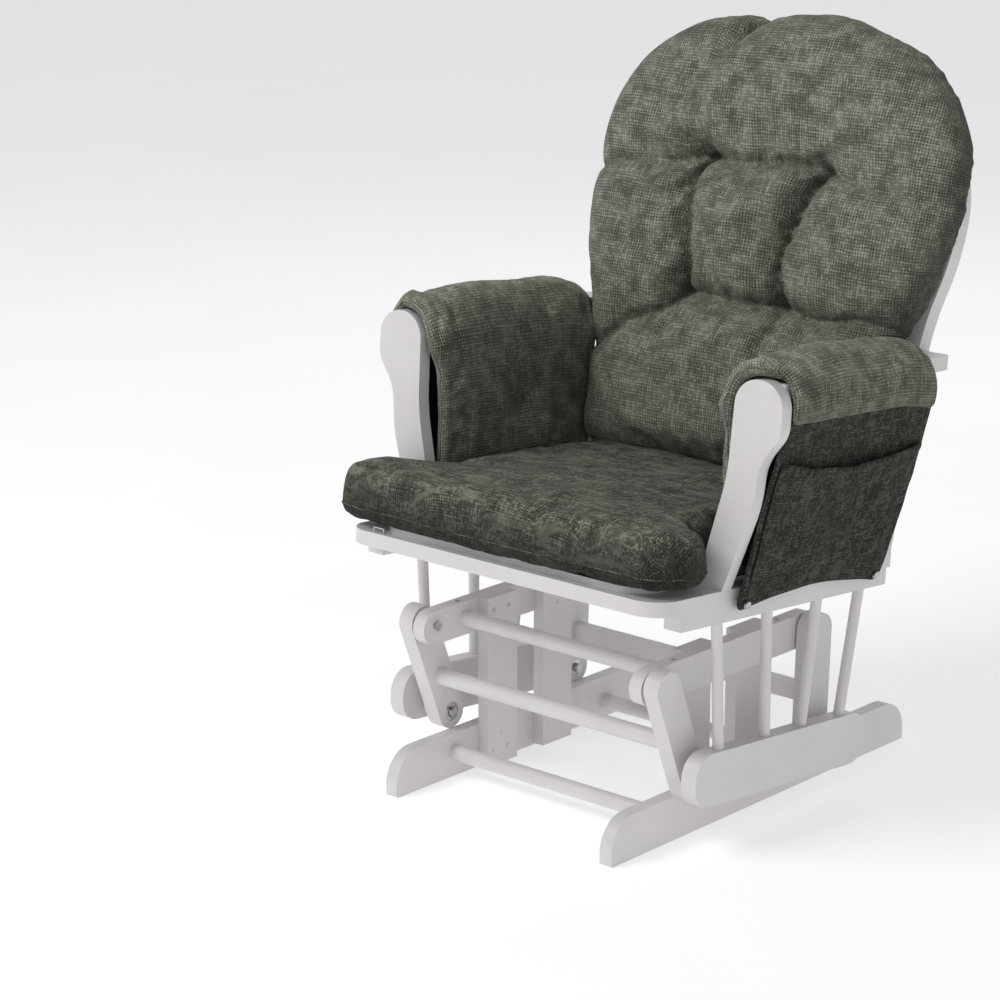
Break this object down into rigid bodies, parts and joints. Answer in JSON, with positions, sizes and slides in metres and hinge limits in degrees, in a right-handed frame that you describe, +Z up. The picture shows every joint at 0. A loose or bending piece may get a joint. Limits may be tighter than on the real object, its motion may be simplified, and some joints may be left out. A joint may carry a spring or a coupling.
{
  "type": "glider nursery chair",
  "caption": "Glider armchair on a fixed rail base, with swing arms, a spindled seat frame, a hoop back, tufted cushions and padded arms with pockets.",
  "frame": {"origin": "on the floor, under the middle of the chair's bounding box", "axes": "+Z up, the sitter faces -Y, +X is the sitter's left"},
  "size_m": [0.708, 0.695, 1.0442],
  "materials": {
    "white_paint": "satin white paint",
    "fabric": "woven chenille, grey-green",
    "zinc_steel": "zinc plated",
    "bearing_steel": "polished",
    "spacer": "matte nylon",
    "deck": "glossy paint"
  },
  "bodies": {
    "base": {"front_post_left": "white_paint", "front_post_right": "white_paint", "lower_front_stretcher": "white_paint", "lower_rear_stretcher": "white_paint", "post_screws": "zinc_steel", "rear_post_left": "white_paint", "rear_post_right": "white_paint", "runner_left": "white_paint", "runner_right": "white_paint", "top_rail_left": "white_paint", "top_rail_right": "white_paint", "upper_pivot_bolts": "zinc_steel", "upper_pivot_nuts": "zinc_steel", "upper_pivot_washers": "zinc_steel", "upper_stretcher": "white_paint"},
    "front_swing": {"front_arm_bearings": "bearing_steel", "front_arm_dowel": "white_paint", "front_arm_left": "white_paint", "front_arm_right": "white_paint"},
    "rear_swing": {"crossbar_screws": "zinc_steel", "rear_arm_bearings": "bearing_steel", "rear_arm_crossbar": "white_paint", "rear_arm_left": "white_paint", "rear_arm_right": "white_paint"},
    "seat": {"arm_board_left": "white_paint", "arm_board_right": "white_paint", "arm_pad_flap_left": "fabric", "arm_pad_flap_right": "fabric", "arm_pad_inner_left": "fabric", "arm_pad_inner_right": "fabric", "arm_pad_pocket_left": "fabric", "arm_pad_pocket_right": "fabric", "arm_pad_top_left": "fabric", "arm_pad_top_right": "fabric", "arm_post_left": "white_paint", "arm_post_right": "white_paint", "back_crown": "white_paint", "back_cushion": "fabric", "back_lower_rail": "white_paint", "back_slats": "white_paint", "back_stile_left": "white_paint", "back_stile_right": "white_paint", "cross_rail_front": "white_paint", "cross_rail_rear": "white_paint", "cushion_clip": "zinc_steel", "glide_rail_left": "white_paint", "glide_rail_right": "white_paint", "lower_pivot_bolts": "zinc_steel", "lower_pivot_spacers": "spacer", "pad_snaps": "zinc_steel", "seat_cushion": "fabric", "seat_deck": "deck", "seat_front_board": "white_paint", "seat_rear_board": "white_paint", "seat_side_board_left": "white_paint", "seat_side_board_right": "white_paint", "seat_side_rail_left": "white_paint", "seat_side_rail_right": "white_paint", "spindles_left": "white_paint", "spindles_right": "white_paint"}
  },
  "joints": [
    {"name": "glide", "type": "hinge", "parent": "base", "child": "rear_swing", "pos_m": [0, 0.069, 0.228], "axis": [1, 0, 0], "range_deg": [-18, 12]},
    {"name": "seat_pivot", "type": "hinge", "parent": "rear_swing", "child": "seat", "pos_m": [0, 0.063, 0.08], "axis": [1, 0, 0], "range_deg": [-15, 22.5]},
    {"name": "front_swing_pivot", "type": "hinge", "parent": "base", "child": "front_swing", "pos_m": [0, -0.263, 0.228], "axis": [1, 0, 0], "range_deg": [-18.5, 12.5]}
  ],
  "couplings": [
    {"joint": "seat_pivot", "follows": "glide", "ratio": -1.2263},
    {"joint": "front_swing_pivot", "follows": "glide", "ratio": 1.0064}
  ]
}
